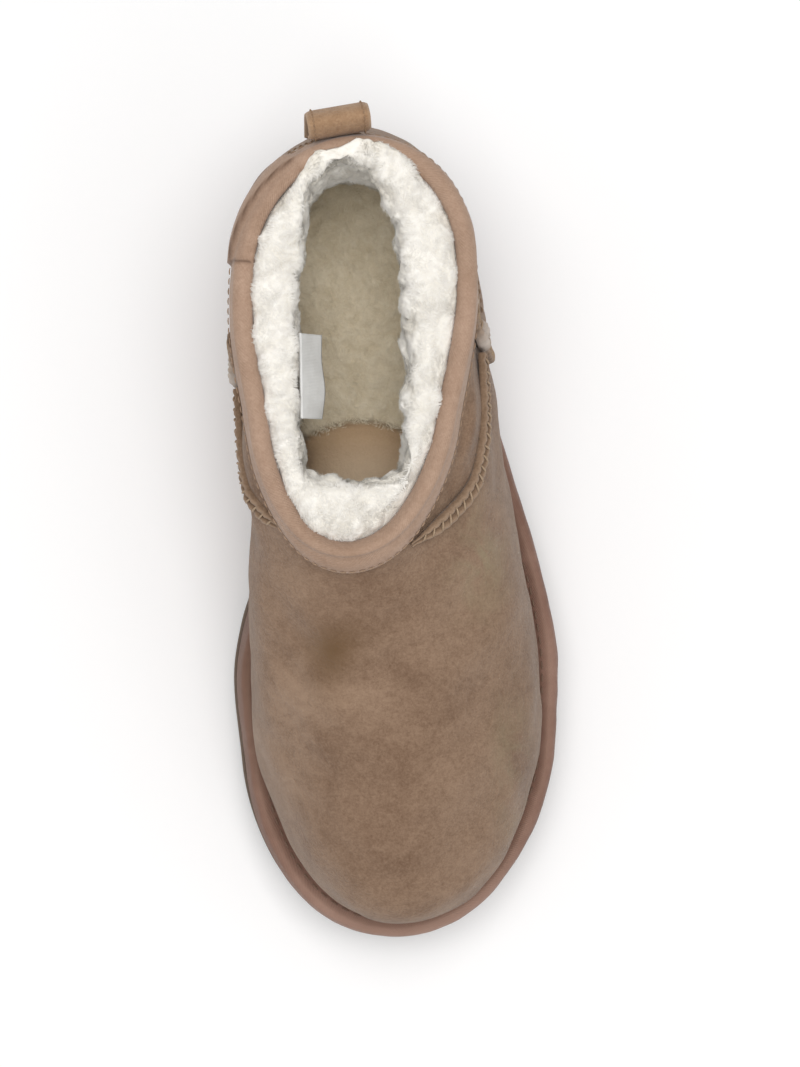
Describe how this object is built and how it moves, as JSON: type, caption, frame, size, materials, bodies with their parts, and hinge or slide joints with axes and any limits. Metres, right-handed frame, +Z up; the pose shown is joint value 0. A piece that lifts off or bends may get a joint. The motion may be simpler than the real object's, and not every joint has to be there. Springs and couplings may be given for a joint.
{
  "type": "sheepskin boot",
  "caption": "Left low-cut suede boot with a deep fleece lining, taped collar, heel pull tab and a thick wrapped platform sole.",
  "frame": {"origin": "centre of the boot's box, on the floor", "axes": "+Z up, toe towards -Y, heel towards +Y, the foot's outer side towards +X"},
  "size_m": [0.1094, 0.2684, 0.1484],
  "materials": {
    "outsole_rubber": "matt pale grey-tan rubber",
    "platform_cover": "twill-grained cover, dusty taupe",
    "suede": "short-napped taupe suede",
    "insole_fleece": "clipped sheepskin",
    "fleece": "deep curly off-white pile",
    "binding_tape": "light suede tape, finely ribbed",
    "seam_suede": "raised raw-edged suede seam with coarse stitches",
    "tab_suede": "warm tan suede strip",
    "label_cloth": "blank white satin tag"
  },
  "bodies": {
    "root": {"outsole": "outsole_rubber", "platform_midsole": "platform_cover", "upper": "suede", "insole": "insole_fleece", "fleece_lining": "fleece", "collar_binding": "binding_tape", "heel_counter": "suede", "side_seam_arch": "seam_suede", "side_seam_outer": "seam_suede", "vamp_seam_arch": "seam_suede", "vamp_seam_outer": "seam_suede", "pull_tab": "tab_suede", "size_label": "label_cloth"}
  },
  "joints": []
}
